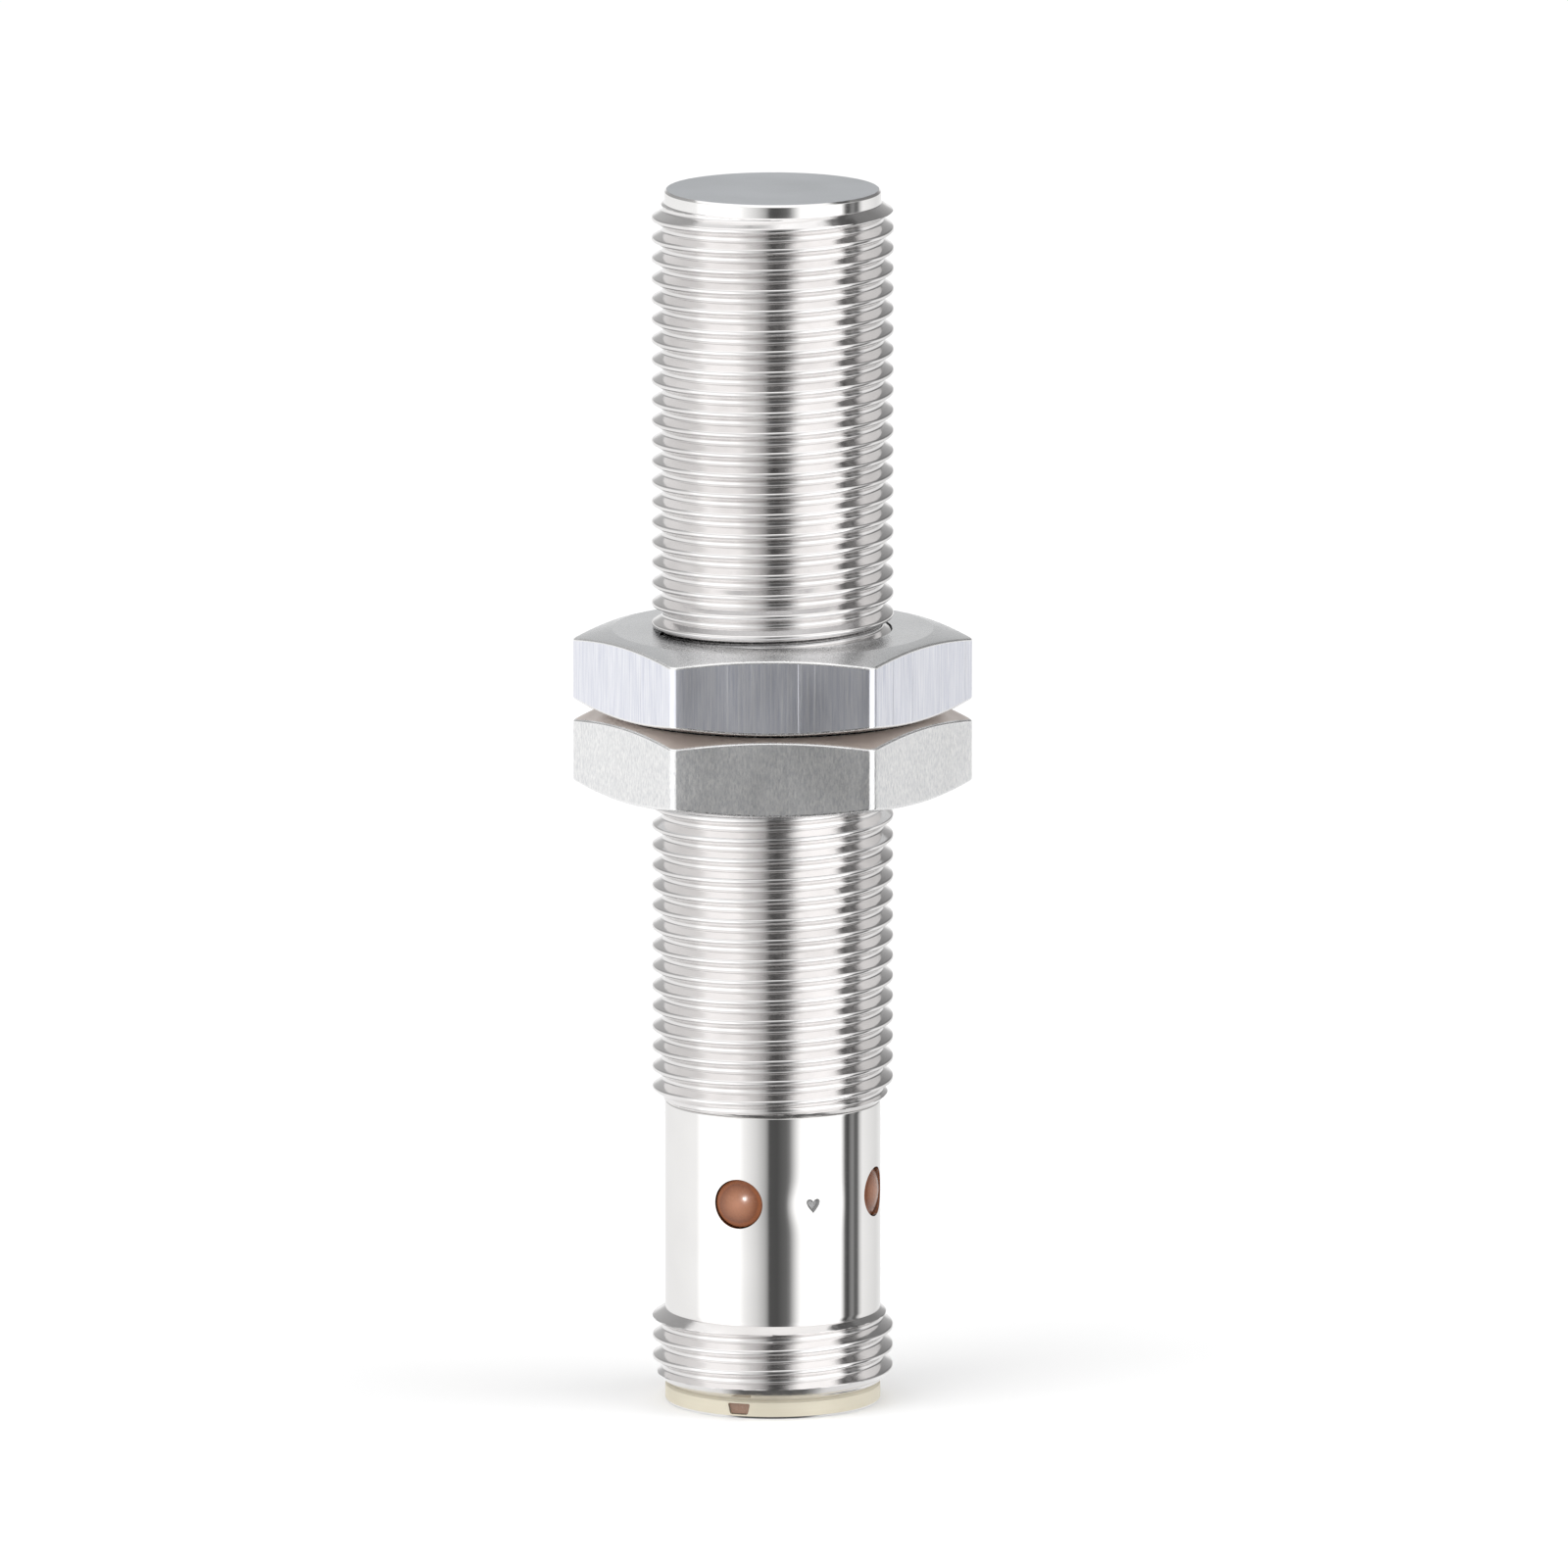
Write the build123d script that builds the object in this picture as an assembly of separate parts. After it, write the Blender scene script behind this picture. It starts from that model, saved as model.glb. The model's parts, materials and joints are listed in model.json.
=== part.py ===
from build123d import *
from math import cos, radians, sin, tan
import os

# Cylindrical inductive proximity sensor, M12 x 1 stainless barrel with an M12 plug end.
# Row frame: millimetres, +Z up the barrel axis, z = 0 at the plug end, z = 60 at the sensing face.
# Azimuths are measured from -Y (the front), positive towards +X.

# ---------------------------------------------------------------- driving dimensions
LENGTH = 60.0

# M12 x 1 thread, 60 degree form, limits inside 6g (outside) and 6H (inside)
PITCH = 1.0
FLANK = tan(radians(30.0))
CREST_R = 5.90
ROOT_R = 5.36
OUTER_PITCH_R = 5.61
NUT_MINOR_R = 5.50
NUT_ROOT_R = 6.06
INNER_PITCH_R = 5.75
RIDGE_EMBED = 0.10
SEAM_TURN = 37.0
# cones that end the outside threads: depth below the crest, axial run at the lower and upper ends
CONE_DEPTH = 0.60
FOOT_RUN = 0.60
CONE_RUN = 0.37
CONE_MARGIN = 0.10
BARREL_THREAD_PHASE = 0.08
PLUG_THREAD_PHASE = 0.69

# threaded barrel with its closed sensing face
BARREL_BOTTOM = 15.0
THREAD_TOP = 59.32
RIM_R = 5.28
RIM_EDGE = 0.12
BARREL_BORE_R = 4.80
FACE_T = 0.60

# plug sleeve: neck, plug thread, end rim
NECK_R = 5.28
END_RIM_R = 5.27
END_RIM_EDGE = 0.12
PLUG_THREAD_BOTTOM = 0.90
PLUG_THREAD_TOP = 4.60
SLEEVE_BORE_R = 4.72
SPIGOT_R = 4.78
SPIGOT_BORE_R = 4.40
SPIGOT_TOP = 18.5
SPIGOT_STEP = 13.0

# status windows round the neck
WINDOW_Z = 10.65
WINDOW_R = 1.19
WINDOW_HOLE_R = 1.22
WINDOW_AZIMUTHS = [-18.8, 71.2, 161.2, 251.2]
WINDOW_APEX_R = 5.32
WINDOW_DOME_R = 2.6

# staking mark on the neck
DIMPLE_AZ = 22.3
DIMPLE_Z = 10.6
DIMPLE_BALL_R = 12.0
DIMPLE_DEPTH = 0.06
PUNCH_W = 0.50
PUNCH_H = 0.66
PUNCH_DEPTH = 0.20

# coding window in the end rim and the coding key behind it
KEY_AZ = -18.4
CODE_TOP_W = 1.15
CODE_BOTTOM_W = 0.90
CODE_Z0 = 0.18
CODE_Z1 = 0.74
LUG_CLEAR = 0.03
LUG_R = 5.12
KEY_W = 1.0
KEY_R = 3.75

# connector insert
INSERT_R = 4.70
INSERT_BOTTOM = 0.15
CUP_R = 4.30
CUP_FLOOR = 7.6
INSERT_SHOULDER = 9.40
STEM_R = 3.42
STEM_TOP = 12.80
SEAL_GROOVE_R = 4.05
SEAL_GROOVE_Z0 = 8.0
SEAL_GROOVE_Z1 = 8.95

# plug contacts
PIN_R = 0.50
PIN_CIRCLE_R = 2.65
PIN_BOTTOM = 1.6
PIN_SHOULDER = 12.9
PIN_TAIL_R = 0.35
PIN_TOP = 14.2
WIRE_R = 0.20

# light guide
GUIDE_INNER_R = 3.46
GUIDE_OUTER_R = 4.68
GUIDE_BOTTOM = 9.45
GUIDE_TOP = 12.75

# lock nuts
NUT_AF = 17.0
NUT_H = 4.0
NUT_CORNER_R = 0.60
NUT_CHAMFER_R = 7.85
NUT_CHAMFER_ANGLE = 15.0
NUT_MOUTH_R = 5.85
NUT_FACE_GAP = 0.02
NUT_GAP = 0.03
UPPER_NUT_TOP = 38.31
BEARING_INNER_R = 6.45
BEARING_OUTER_R = 7.40
BEARING_T = 0.30
BEARING_CLEAR = 0.015

# coil assembly behind the sensing face
HOLDER_R = 4.76
HOLDER_WALL = 0.30
HOLDER_TOP = 59.36
HOLDER_BOTTOM = 53.2
HOLDER_FLOOR = 0.42
SHIELD_OUTER_R = 4.43
SHIELD_INNER_R = 4.20
SHIELD_BOTTOM = 54.6
CORE_R = 4.16
CORE_WALL_R = 3.48
CORE_POST_R = 1.60
CORE_BOTTOM = 55.0
CORE_TOP = 58.90
CORE_FLOOR = 1.20
CORE_SLOT_W = 0.70
CORE_SLOT_R = 3.40
BOBBIN_R = 1.64
BOBBIN_TUBE_R = 1.86
BOBBIN_FLANGE_R = 3.36
BOBBIN_FLANGE_T = 0.24
COIL_INNER_R = 1.89
COIL_OUTER_R = 3.15
LEAD_R = 0.10

# electronics
BOARD_W = 7.8
BOARD_T = 0.8
BOARD_BOTTOM = 13.4
BOARD_TOP = 52.6
TOOLING_X = 1.6
TOOLING_Z = 17.4
TOOLING_R = 0.30
LINER_R = 4.76
LINER_WALL = 0.18
LINER_BOTTOM = 21.6
LINER_TOP = 52.9
RESIN_R = 4.74
RESIN_BOTTOM = 18.6
RESIN_TOP = 21.4

# chips: board side (-1 front, 1 back), x, z, width, height, thickness, legs each side, leg pitch
OSCILLATOR_CHIP = (-1, 0, 43.0, 3.9, 4.9, 1.25, 4, 1.27)
OUTPUT_DRIVER = (1, 0, 28.0, 3.0, 3.0, 0.95, 3, 0.95)
VOLTAGE_REGULATOR = (-1, 0, 34.5, 1.6, 2.9, 0.95, 2, 1.9)
# two-terminal parts: board side, x, z, width, height, thickness
PROTECTION_DIODES = [(-1, -1.6, 26.0, 1.7, 3.6, 1.0), (-1, 1.6, 26.0, 1.7, 3.6, 1.0)]
SUPPLY_CAPACITOR = (1, 0, 36.0, 2.5, 3.2, 1.6)
TUNING_CAPACITORS = [(1, -1.5, 46.5, 1.25, 2.0, 0.9), (1, 1.5, 46.5, 1.25, 2.0, 0.9)]
CHIP_RESISTORS = [(1, x, z, 0.8, 1.6, 0.45) for z in (41.5, 32.0) for x in (-2.4, 2.4)]
LED_X = 3.2
LED_Z = 14.1
LED_DOME_R = 0.35


# ---------------------------------------------------------------- helpers
def turned(points):
    """Solid of revolution about Z from a closed list of (radius, z)."""
    profile = Plane.XZ * Polygon(*points, align=None)
    return revolve(profile, Axis.Z)


def tube(r_out, r_in, z0, z1):
    return turned([(r_in, z0), (r_out, z0), (r_out, z1), (r_in, z1)])


def rod(r, z0, z1):
    return Pos(0, 0, z0) * Cylinder(r, z1 - z0, align=(Align.CENTER, Align.CENTER, Align.MIN))


def block(x0, x1, y0, y1, z0, z1):
    centre = Pos((x0 + x1) / 2, (y0 + y1) / 2, (z0 + z1) / 2)
    return centre * Box(x1 - x0, y1 - y0, z1 - z0)


def at_azimuth(azimuth, shape):
    """Turn a shape built towards the front (-Y) to the given azimuth."""
    return Rot(0, 0, azimuth) * shape


def around(azimuth, radius):
    """X and Y of a point at an azimuth and radius."""
    return radius * sin(radians(azimuth)), -radius * cos(radians(azimuth))


def ridge(r0, half0, r1, half1, phase, z0, z1):
    """One right-hand helical ridge, its crest at z = phase (plus whole pitches) on the +X side.

    A single turn is swept, its side faces are repeated pitch by pitch, and the skin is closed
    with the two end sections.
    """
    first = round((z0 - phase) / PITCH) - 2
    turns = round((z1 - z0) / PITCH) + 4
    path = Helix(pitch=PITCH, height=PITCH, radius=(r0 + r1) / 2)
    section = Plane.XZ * Polygon((r0, -half0), (r1, -half1), (r1, half1), (r0, half0), align=None)
    turn = Pos(0, 0, phase + first * PITCH) * sweep(section, path=path, is_frenet=True)
    ends = turn.faces().filter_by(GeomType.PLANE).sort_by(Axis.Z)
    sides = [face for face in turn.faces() if face not in ends]
    skin = [ends[0], Pos(0, 0, (turns - 1) * PITCH) * ends[-1]]
    for i in range(turns):
        skin += [Pos(0, 0, i * PITCH) * face for face in sides]
    return Solid(Shell(skin))


def outer_thread(phase, z0, z1):
    """Outside thread ridge between z0 and z1, ended by a cone each way."""
    foot_r = ROOT_R - RIDGE_EMBED
    crest_half = PITCH / 2 - (PITCH / 4 + (CREST_R - OUTER_PITCH_R) * FLANK)
    foot_half = PITCH / 2 - (PITCH / 4 + (foot_r - OUTER_PITCH_R) * FLANK)
    coil = ridge(foot_r, foot_half, CREST_R, crest_half, phase, z0, z1)
    blank_r = CREST_R + CONE_MARGIN
    tip_r = CREST_R - CONE_DEPTH
    stretch = (CONE_DEPTH + CONE_MARGIN) / CONE_DEPTH
    blank = turned([
        (0, z0),
        (tip_r, z0),
        (blank_r, z0 + FOOT_RUN * stretch),
        (blank_r, z1 - CONE_RUN * stretch),
        (tip_r, z1),
        (0, z1),
    ])
    return coil & blank


def code_block(inset, near, far):
    """Trapezium of the coding window, drawn in by the inset, from one radius out to another."""
    low = CODE_Z0 + inset
    high = CODE_Z1 - inset
    outline = [
        (inset - CODE_BOTTOM_W / 2, low),
        (CODE_BOTTOM_W / 2 - inset, low),
        (CODE_TOP_W / 2 - inset, high),
        (inset - CODE_TOP_W / 2, high),
    ]
    shape = extrude(Plane.XZ * Polygon(*outline, align=None), far - near)
    return at_azimuth(KEY_AZ, Pos(0, -near, 0) * shape)


def hexagon_block(af, z0, z1, corner_r):
    """Hexagonal bar with flats facing -Y and +Y, its six edges slightly rounded."""
    radius = af / 3 ** 0.5
    outline = RegularPolygon(radius, 6)
    outline = fillet(outline.vertices(), corner_r)
    return Pos(0, 0, z0) * extrude(outline, z1 - z0)


# ---------------------------------------------------------------- housing
def threaded_barrel():
    body = turned([
        (BARREL_BORE_R, BARREL_BOTTOM),
        (ROOT_R, BARREL_BOTTOM),
        (ROOT_R, THREAD_TOP),
        (RIM_R, THREAD_TOP),
        (RIM_R, LENGTH - RIM_EDGE),
        (RIM_R - RIM_EDGE, LENGTH),
        (0, LENGTH),
        (0, LENGTH - FACE_T),
        (BARREL_BORE_R, LENGTH - FACE_T),
    ])
    thread = outer_thread(BARREL_THREAD_PHASE, BARREL_BOTTOM, THREAD_TOP)
    return Rot(0, 0, SEAM_TURN) * body + thread


def plug_sleeve():
    body = turned([
        (SLEEVE_BORE_R + 0.10, 0),
        (END_RIM_R - END_RIM_EDGE, 0),
        (END_RIM_R, END_RIM_EDGE),
        (END_RIM_R, PLUG_THREAD_BOTTOM),
        (ROOT_R, PLUG_THREAD_BOTTOM),
        (ROOT_R, PLUG_THREAD_TOP),
        (NECK_R, PLUG_THREAD_TOP),
        (NECK_R, BARREL_BOTTOM - 0.01),
        (SPIGOT_R, BARREL_BOTTOM - 0.01),
        (SPIGOT_R, SPIGOT_TOP),
        (SPIGOT_BORE_R, SPIGOT_TOP),
        (SPIGOT_BORE_R, SPIGOT_STEP),
        (SLEEVE_BORE_R, SPIGOT_STEP),
        (SLEEVE_BORE_R, 0.10),
    ])
    body = Rot(0, 0, SEAM_TURN) * body
    hole = Pos(0, -NECK_R, WINDOW_Z) * Rot(90, 0, 0) * Cylinder(WINDOW_HOLE_R, 2.0)
    for azimuth in WINDOW_AZIMUTHS:
        body -= at_azimuth(azimuth, hole)
    # staking mark: a wide shallow hollow with a punched rectangle at its middle
    hollow = Pos(0, -(NECK_R + DIMPLE_BALL_R - DIMPLE_DEPTH), DIMPLE_Z) * Sphere(DIMPLE_BALL_R)
    body -= at_azimuth(DIMPLE_AZ, hollow)
    punch = block(-PUNCH_W / 2, PUNCH_W / 2, -NECK_R - 0.5, -NECK_R + PUNCH_DEPTH,
                  DIMPLE_Z - PUNCH_H / 2, DIMPLE_Z + PUNCH_H / 2)
    body -= at_azimuth(DIMPLE_AZ, punch)
    # coding window through the end rim
    body -= code_block(0, SLEEVE_BORE_R - 0.3, END_RIM_R + 0.5)
    thread = outer_thread(PLUG_THREAD_PHASE, PLUG_THREAD_BOTTOM, PLUG_THREAD_TOP)
    return body + thread


def status_window(azimuth):
    """Domed lens filling one hole in the neck."""
    plug = Pos(0, -NECK_R, WINDOW_Z) * Rot(90, 0, 0) * Cylinder(WINDOW_R, 2.0)
    dome = Pos(0, -(WINDOW_APEX_R - WINDOW_DOME_R), WINDOW_Z) * Sphere(WINDOW_DOME_R)
    lens = (plug & dome) - rod(SLEEVE_BORE_R + 0.02, WINDOW_Z - 3, WINDOW_Z + 3)
    return at_azimuth(azimuth, lens)


def light_guide_ring():
    return turned([
        (GUIDE_INNER_R, GUIDE_BOTTOM),
        (GUIDE_OUTER_R - 0.1, GUIDE_BOTTOM),
        (GUIDE_OUTER_R, GUIDE_BOTTOM + 0.1),
        (GUIDE_OUTER_R, GUIDE_TOP - 0.5),
        (GUIDE_OUTER_R - 0.5, GUIDE_TOP),
        (GUIDE_INNER_R, GUIDE_TOP),
    ])


# ---------------------------------------------------------------- plug end
def pin_azimuths():
    return [KEY_AZ + 45 + 90 * i for i in range(4)]


def connector_insert():
    body = turned([
        (CUP_R + 0.1, INSERT_BOTTOM),
        (INSERT_R - 0.1, INSERT_BOTTOM),
        (INSERT_R, INSERT_BOTTOM + 0.1),
        (INSERT_R, SEAL_GROOVE_Z0),
        (SEAL_GROOVE_R, SEAL_GROOVE_Z0),
        (SEAL_GROOVE_R, SEAL_GROOVE_Z1),
        (INSERT_R, SEAL_GROOVE_Z1),
        (INSERT_R, INSERT_SHOULDER),
        (STEM_R, INSERT_SHOULDER),
        (STEM_R, STEM_TOP),
        (0, STEM_TOP),
        (0, CUP_FLOOR),
        (CUP_R, CUP_FLOOR),
        (CUP_R, INSERT_BOTTOM + 0.1),
    ])
    # coding key: a rib down the wall of the cup
    key = block(-KEY_W / 2, KEY_W / 2, -CUP_R - 0.2, -KEY_R, 1.0, CUP_FLOOR + 0.2)
    body += at_azimuth(KEY_AZ, key)
    # lug that snaps into the coding window and shows there
    body += code_block(LUG_CLEAR, INSERT_R - 0.2, LUG_R)
    for azimuth in pin_azimuths():
        x, y = around(azimuth, PIN_CIRCLE_R)
        body -= Pos(x, y, 0) * rod(PIN_R + 0.01, CUP_FLOOR - 1, STEM_TOP + 1)
    return body


def insert_seal():
    """Rubber ring squeezed between the insert's groove and the sleeve's bore."""
    r0 = SEAL_GROOVE_R + 0.01
    r1 = SLEEVE_BORE_R - 0.01
    z0 = SEAL_GROOVE_Z0 + 0.05
    z1 = SEAL_GROOVE_Z1 - 0.05
    section = Pos((r0 + r1) / 2, (z0 + z1) / 2) * RectangleRounded(r1 - r0, z1 - z0, 0.25)
    return revolve(Plane.XZ * section, Axis.Z)


def contact_pin(azimuth):
    x, y = around(azimuth, PIN_CIRCLE_R)
    pin = turned([
        (0, PIN_BOTTOM),
        (0.20, PIN_BOTTOM),
        (0.40, PIN_BOTTOM + 0.12),
        (PIN_R, PIN_BOTTOM + 0.45),
        (PIN_R, PIN_SHOULDER),
        (PIN_TAIL_R, PIN_SHOULDER),
        (PIN_TAIL_R, PIN_TOP),
        (0, PIN_TOP),
    ])
    return Pos(x, y, 0) * pin


def bent_wire(points, radius):
    """Round wire along straight runs joined by bends."""
    path = FilletPolyline(*points, radius=3 * radius)
    start = Plane(origin=path @ 0, z_dir=path % 0)
    return sweep(start * Circle(radius), path=path)


def contact_wire(azimuth):
    """Wire from a contact's tail to its pad on the nearer side of the board."""
    x, y = around(azimuth, PIN_CIRCLE_R)
    side = 1 if y > 0 else -1
    pad_y = side * (BOARD_T / 2 + WIRE_R + 0.03)
    return bent_wire([(x, y, PIN_TOP + 0.02), (x, y, 15.1), (x, pad_y, 16.4), (x, pad_y, 18.2)], WIRE_R)


# ---------------------------------------------------------------- lock nuts
def lock_nut(z0, bearing_up):
    """Hexagon nut threaded on the barrel, with a seat for its outer bearing face."""
    z1 = z0 + NUT_H
    body = hexagon_block(NUT_AF, z0, z1, NUT_CORNER_R)
    slope = tan(radians(NUT_CHAMFER_ANGLE))
    reach = 11.0
    drop = (reach - NUT_CHAMFER_R) * slope
    lens = turned([
        (0, z0),
        (NUT_CHAMFER_R, z0),
        (reach, z0 + drop),
        (reach, z1 - drop),
        (NUT_CHAMFER_R, z1),
        (0, z1),
    ])
    body = body & lens
    body -= Rot(0, 0, SEAM_TURN) * rod(NUT_ROOT_R, z0 - 1, z1 + 1)
    # thread ridge, cut back by a 45 degree countersink at each mouth
    foot_r = NUT_ROOT_R + RIDGE_EMBED
    crest_half = PITCH / 4 + (NUT_MINOR_R - INNER_PITCH_R) * FLANK
    foot_half = PITCH / 4 + (foot_r - INNER_PITCH_R) * FLANK
    phase = BARREL_THREAD_PHASE + PITCH / 2
    coil = ridge(NUT_MINOR_R, crest_half, foot_r, foot_half, phase, z0, z1)
    inner_r = NUT_MINOR_R - 0.10
    face_0 = z0 + NUT_FACE_GAP
    face_1 = z1 - NUT_FACE_GAP
    sink = NUT_MOUTH_R - inner_r
    blank = turned([
        (inner_r, face_0 + sink),
        (NUT_MOUTH_R, face_0),
        (foot_r + 0.05, face_0),
        (foot_r + 0.05, face_1),
        (NUT_MOUTH_R, face_1),
        (inner_r, face_1 - sink),
    ])
    body += coil & blank
    depth = BEARING_T + BEARING_CLEAR
    if bearing_up:
        seat = tube(BEARING_OUTER_R + BEARING_CLEAR, BEARING_INNER_R - BEARING_CLEAR, z1 - depth, z1 + 1)
    else:
        seat = tube(BEARING_OUTER_R + BEARING_CLEAR, BEARING_INNER_R - BEARING_CLEAR, z0 - 1, z0 + depth)
    return body - seat


def bearing_face(z_face, up):
    """The flat ring of the nut's outer face that presses on the mounting plate."""
    if up:
        return tube(BEARING_OUTER_R, BEARING_INNER_R, z_face - BEARING_T, z_face)
    return tube(BEARING_OUTER_R, BEARING_INNER_R, z_face, z_face + BEARING_T)


# ---------------------------------------------------------------- coil assembly
def core_holder():
    inner = HOLDER_R - HOLDER_WALL
    return turned([
        (inner, HOLDER_BOTTOM),
        (HOLDER_R, HOLDER_BOTTOM),
        (HOLDER_R, HOLDER_TOP - 0.15),
        (HOLDER_R - 0.15, HOLDER_TOP),
        (0, HOLDER_TOP),
        (0, HOLDER_TOP - HOLDER_FLOOR),
        (inner, HOLDER_TOP - HOLDER_FLOOR),
    ])


def shield_ring():
    return tube(SHIELD_OUTER_R, SHIELD_INNER_R, SHIELD_BOTTOM, CORE_TOP)


def ferrite_core():
    body = turned([
        (0, CORE_BOTTOM),
        (CORE_R, CORE_BOTTOM),
        (CORE_R, CORE_TOP),
        (CORE_WALL_R, CORE_TOP),
        (CORE_WALL_R, CORE_BOTTOM + CORE_FLOOR),
        (CORE_POST_R, CORE_BOTTOM + CORE_FLOOR),
        (CORE_POST_R, CORE_TOP),
        (0, CORE_TOP),
    ])
    # a slot down each side of the wall lets a coil lead out
    slot = block(CORE_SLOT_R, CORE_R + 0.5, -CORE_SLOT_W / 2, CORE_SLOT_W / 2, CORE_BOTTOM - 1, CORE_TOP + 1)
    for turn in (0, 180):
        body -= Rot(0, 0, turn) * slot
    return body


def bobbin_bottom():
    return CORE_BOTTOM + CORE_FLOOR + 0.03


def bobbin_top():
    return CORE_TOP - 0.06


def coil_bobbin():
    z0 = bobbin_bottom()
    z1 = bobbin_top()
    return turned([
        (BOBBIN_R, z0),
        (BOBBIN_FLANGE_R, z0),
        (BOBBIN_FLANGE_R, z0 + BOBBIN_FLANGE_T),
        (BOBBIN_TUBE_R, z0 + BOBBIN_FLANGE_T),
        (BOBBIN_TUBE_R, z1 - BOBBIN_FLANGE_T),
        (BOBBIN_FLANGE_R, z1 - BOBBIN_FLANGE_T),
        (BOBBIN_FLANGE_R, z1),
        (BOBBIN_R, z1),
    ])


def coil_winding():
    z0 = bobbin_bottom() + BOBBIN_FLANGE_T + 0.03
    z1 = bobbin_top() - BOBBIN_FLANGE_T - 0.03
    section = Pos((COIL_INNER_R + COIL_OUTER_R) / 2, (z0 + z1) / 2)
    section = section * RectangleRounded(COIL_OUTER_R - COIL_INNER_R, z1 - z0, 0.2)
    return revolve(Plane.XZ * section, Axis.Z)


def coil_lead(side):
    """Enamelled wire from the winding, down the core's slot, to the board."""
    points = [
        (side * 3.28, 0, 57.4),
        (side * 3.80, 0, 57.0),
        (side * 3.80, 0, 54.2),
        (side * 2.60, -0.54, 52.0),
        (side * 2.60, -0.54, 50.6),
    ]
    return bent_wire(points, LEAD_R)


# ---------------------------------------------------------------- electronics
def circuit_board():
    board = block(-BOARD_W / 2, BOARD_W / 2, -BOARD_T / 2, BOARD_T / 2, BOARD_BOTTOM, BOARD_TOP)
    # two tooling holes near the plug end
    for side in (-1, 1):
        board -= Pos(side * TOOLING_X, 0, TOOLING_Z) * Rot(90, 0, 0) * Cylinder(TOOLING_R, 2 * BOARD_T)
    return board


def on_board(side, height, x, z, w, h):
    """Block standing on one face of the board, centred at x and z."""
    near = BOARD_T / 2 + 0.01
    far = near + height
    y0 = near if side > 0 else -far
    y1 = far if side > 0 else -near
    return block(x - w / 2, x + w / 2, y0, y1, z - h / 2, z + h / 2)


def gull_package(side, x, z, w, h, height, legs, pitch):
    """Moulded chip package with a row of legs down each long side."""
    lift = 0.12
    near = BOARD_T / 2 + 0.01
    y0 = near + lift if side > 0 else -(near + lift + height)
    y1 = near + lift + height if side > 0 else -(near + lift)
    body = block(x - w / 2, x + w / 2, y0, y1, z - h / 2, z + h / 2)
    for i in range(legs):
        leg_z = z + (i - (legs - 1) / 2) * pitch
        for hand in (-1, 1):
            foot_x = x + hand * (w / 2 + 0.35)
            body += on_board(side, 0.15, foot_x, leg_z, 0.70, 0.36)
            body += on_board(side, 0.60, x + hand * (w / 2 + 0.06), leg_z, 0.16, 0.36)
    return body


def end_cap_chip(side, x, z, w, h, height):
    """Chip resistor or capacitor: a body with slightly proud end caps."""
    body = on_board(side, height, x, z, w * 0.92, h)
    for hand in (-1, 1):
        body += on_board(side, height + 0.03, x, z + hand * (h / 2 - h * 0.11), w, h * 0.22)
    return body


def status_led(side, hand):
    """Light-emitting chip at the board's end, over the light guide."""
    x = hand * LED_X
    body = on_board(side, 0.45, x, LED_Z, 0.80, 1.20)
    body += Pos(x, side * (BOARD_T / 2 + 0.40), LED_Z) * Sphere(LED_DOME_R)
    body -= block(-BOARD_W, BOARD_W, -BOARD_T / 2 - 0.01, BOARD_T / 2 + 0.01, 12, 16)
    return body


def liner_tube():
    return tube(LINER_R, LINER_R - LINER_WALL, LINER_BOTTOM, LINER_TOP)


def resin_plug():
    """Cast resin disc that seals the electronics off from the plug end."""
    body = rod(RESIN_R, RESIN_BOTTOM, RESIN_TOP)
    gap = 0.02
    return body - block(-BOARD_W / 2 - gap, BOARD_W / 2 + gap, -BOARD_T / 2 - gap, BOARD_T / 2 + gap,
                        RESIN_BOTTOM - 1, RESIN_TOP + 1)


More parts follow.
